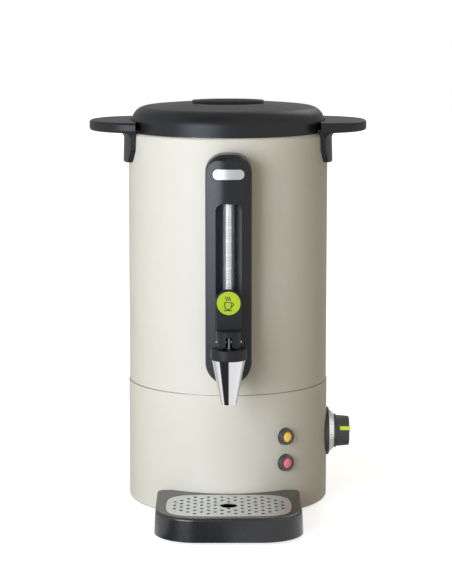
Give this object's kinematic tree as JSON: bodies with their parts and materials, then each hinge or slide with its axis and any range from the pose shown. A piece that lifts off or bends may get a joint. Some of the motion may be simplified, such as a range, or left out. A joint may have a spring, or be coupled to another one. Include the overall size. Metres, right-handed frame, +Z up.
{
  "type": "hot water urn",
  "caption": "Round double-walled electric hot water urn with domed lid, side handles, level glass, lever tap, thermostat dial, lamps and a drip tray with perforated grid.",
  "frame": {"origin": "on the urn's vertical axis, on the table that the feet and the tray's pads stand on", "axes": "+Z up along the vessel's axis; the tap and the drip tray face -Y; the thermostat dial faces +X"},
  "size_m": [0.306, 0.337, 0.448],
  "materials": {
    "powder_coat": "matt powder coat, warm light grey",
    "stainless": "satin",
    "sheet_steel": "galvanised",
    "black_plastic": "fine spark texture",
    "chrome": "polished",
    "badge_metal": "brushed, bare",
    "disc_green": "gloss",
    "pointer_green": "gloss",
    "amber": "translucent gloss",
    "red": "translucent gloss",
    "dial_silver": "satin, with plain ticks",
    "glass": "clear",
    "scale_white": "printed strip",
    "silicone": "translucent white silicone",
    "rubber": "matt",
    "aluminium": "pressed",
    "zinc_steel": "zinc plated",
    "brass": "turned",
    "ceramic_plastic": "moulded insulator",
    "copper": "drawn tube",
    "wire_grey": "silicone insulation"
  },
  "bodies": {
    "urn": {"outer_casing": "powder_coat", "base_casing": "powder_coat", "seam_band": "sheet_steel", "inner_vessel": "stainless", "base_plate": "sheet_steel", "rubber_feet": "rubber", "foot_screws": "zinc_steel", "tie_rods": "zinc_steel", "base_screws": "zinc_steel", "heater_plate": "aluminium", "heating_element": "stainless", "heater_terminals": "zinc_steel", "sensing_bulbs": "copper", "capillary_tubes": "copper", "right_handle": "black_plastic", "left_handle": "black_plastic", "handle_screws": "zinc_steel", "tap_column": "black_plastic", "column_badge": "badge_metal", "column_screws": "zinc_steel", "level_tube": "glass", "level_scale": "scale_white", "tube_seals": "silicone", "tap_shank": "chrome", "tap_body": "chrome", "tap_bonnet": "black_plastic", "tap_bush": "black_plastic", "tap_washers": "silicone", "tap_nut": "stainless", "tap_spring": "stainless", "dial_base": "black_plastic", "dial_ring": "dial_silver", "dial_screws": "zinc_steel", "thermostat_body": "ceramic_plastic", "control_bracket": "sheet_steel", "lamp_bezels": "black_plastic", "amber_lens": "amber", "red_lens": "red", "lamp_bodies": "ceramic_plastic", "lamp_nuts": "black_plastic", "cord_gland": "black_plastic", "gland_nut": "black_plastic", "terminal_block": "ceramic_plastic", "safety_cutout": "ceramic_plastic", "internal_wires": "wire_grey"},
    "lid": {"lid_shell": "black_plastic", "lid_liner": "stainless", "lid_seal": "silicone"},
    "stem": {"tap_stem": "stainless", "seat_cup": "silicone", "lever_pin": "stainless"},
    "lever": {"tap_lever": "black_plastic", "lever_disc": "disc_green"},
    "knob": {"thermostat_knob": "black_plastic", "knob_pointer": "pointer_green", "thermostat_spindle": "zinc_steel"},
    "tray": {"drip_tray": "black_plastic", "tray_pads": "rubber"},
    "grid": {"drip_grid": "stainless"},
    "reset": {"reset_button": "red"}
  },
  "joints": [
    {"name": "lid_lift", "type": "slide", "parent": "urn", "child": "lid", "axis": [0, 0, 1], "range_m": [0, 0.15]},
    {"name": "stem_lift", "type": "slide", "parent": "urn", "child": "stem", "axis": [0, 0, 1], "range_m": [0, 0.0049], "deforming": ["tap_spring"]},
    {"name": "tap_lever_tilt", "type": "hinge", "parent": "stem", "child": "lever", "pos_m": [0, -0.164, 0.204], "axis": [1, 0, 0], "range_deg": [0, 40.5], "stiffness_Nm_per_rad": 0.25, "springref_deg": -14.32},
    {"name": "thermostat_turn", "type": "hinge", "parent": "urn", "child": "knob", "pos_m": [0.12, 0, 0.0741], "axis": [-1, 0, 0], "range_deg": [0, 270]},
    {"name": "tray_pull", "type": "slide", "parent": "urn", "child": "tray", "axis": [0, -1, 0], "range_m": [0, 0.16]},
    {"name": "grid_lift", "type": "slide", "parent": "tray", "child": "grid", "axis": [0, 0, 1], "range_m": [0, 0.1]},
    {"name": "reset_press", "type": "slide", "parent": "urn", "child": "reset", "axis": [0, 0, 1], "range_m": [0, 0.0015], "stiffness_N_per_m": 400, "springref_m": -0.001}
  ],
  "couplings": [
    {"joint": "tap_lever_tilt", "follows": "stem_lift", "rad_per_m": 142.86}
  ]
}
